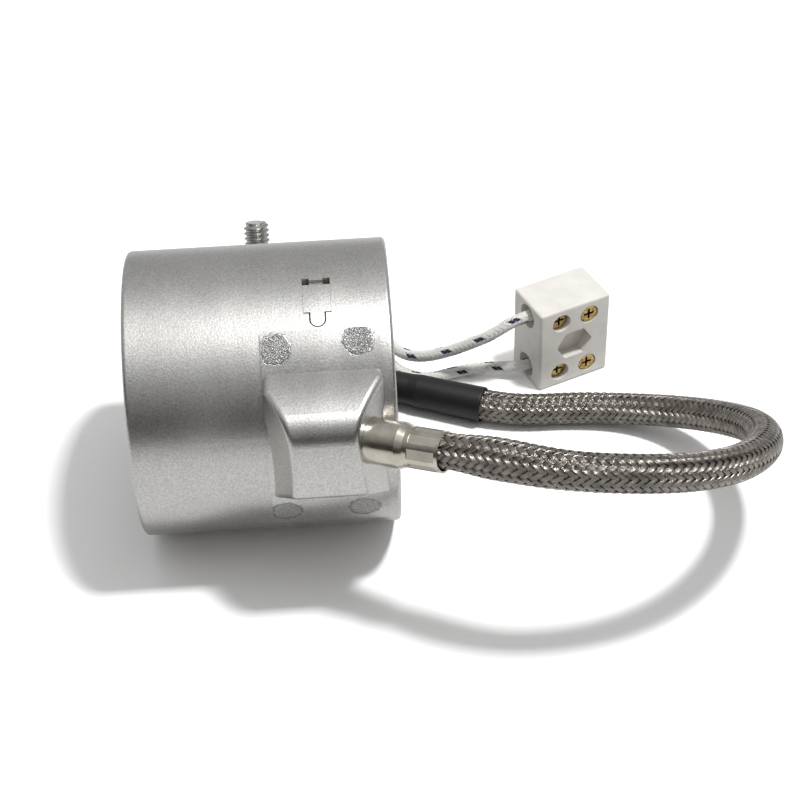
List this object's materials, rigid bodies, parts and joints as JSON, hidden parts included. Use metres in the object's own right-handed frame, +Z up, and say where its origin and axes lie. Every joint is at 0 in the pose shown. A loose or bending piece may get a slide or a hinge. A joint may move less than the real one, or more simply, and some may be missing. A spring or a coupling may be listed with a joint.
{
  "type": "band heater",
  "caption": "Mica band heater lying on its side: clamp screw at the back, pressed terminal hood, braided lead in an open loop, and a ceramic two-pole connector.",
  "frame": {"origin": "centre of the bore", "axes": "+X along the bore's axis towards the ferrule's end of the band, -Y towards the terminal hood's side, +Z up as the heater lies on its side"},
  "size_m": [0.1494, 0.1185, 0.0675],
  "materials": {
    "sheath_metal": "satin rolled sheet",
    "bore_metal": "satin rolled sheet",
    "mica": "matte sheet",
    "ribbon_metal": "drawn ribbon",
    "zinc_steel": "turned, plated",
    "nickel": "nickel plated, satin",
    "braid": "woven wire",
    "shrink": "satin sleeve",
    "glass_braid": "braided fibreglass with dark tracers",
    "porcelain": "fired, unglazed",
    "brass": "turned",
    "copper": "wire"
  },
  "bodies": {
    "root": {"outer_jacket": "sheath_metal", "inner_sheath": "bore_metal", "inner_mica": "mica", "mica_core": "mica", "outer_mica": "mica", "terminal_pad": "mica", "resistance_ribbon": "ribbon_metal", "lock_tab": "sheath_metal", "plain_barrel": "zinc_steel", "threaded_barrel": "zinc_steel", "terminal_hood": "sheath_metal", "ferrule": "nickel", "braided_sleeve": "braid", "heat_shrink": "shrink", "ceramic_block": "porcelain", "terminal_stud_1": "zinc_steel", "lead_lug_1": "copper", "terminal_nut_1": "zinc_steel", "hood_wire_1": "glass_braid", "lead_1": "glass_braid", "brass_insert_1": "brass", "terminal_stud_2": "zinc_steel", "lead_lug_2": "copper", "terminal_nut_2": "zinc_steel", "hood_wire_2": "glass_braid", "lead_2": "glass_braid", "brass_insert_2": "brass"},
    "clamp_screw": {"clamp_screw": "zinc_steel"},
    "lead_screw_1": {"lead_screw_1": "zinc_steel"},
    "supply_screw_1": {"supply_screw_1": "zinc_steel"},
    "lead_screw_2": {"lead_screw_2": "zinc_steel"},
    "supply_screw_2": {"supply_screw_2": "zinc_steel"}
  },
  "joints": [
    {"name": "clamp_screw_turn", "type": "hinge", "parent": "root", "child": "clamp_screw", "pos_m": [-0.0009, 0.03403, -0.01587], "axis": [0, 0.4226, 0.9063], "continuous": true},
    {"name": "lead_screw_1_turn", "type": "hinge", "parent": "root", "child": "lead_screw_1", "pos_m": [0.07451, 0.03479, -0.0133], "axis": [0.3955, -0.9184, 0], "continuous": true},
    {"name": "supply_screw_1_turn", "type": "hinge", "parent": "root", "child": "supply_screw_1", "pos_m": [0.08204, 0.03803, -0.0133], "axis": [0.3955, -0.9184, 0], "continuous": true},
    {"name": "lead_screw_2_turn", "type": "hinge", "parent": "root", "child": "lead_screw_2", "pos_m": [0.07451, 0.03479, -0.0293], "axis": [0.3955, -0.9184, 0], "continuous": true},
    {"name": "supply_screw_2_turn", "type": "hinge", "parent": "root", "child": "supply_screw_2", "pos_m": [0.08204, 0.03803, -0.0293], "axis": [0.3955, -0.9184, 0], "continuous": true}
  ]
}
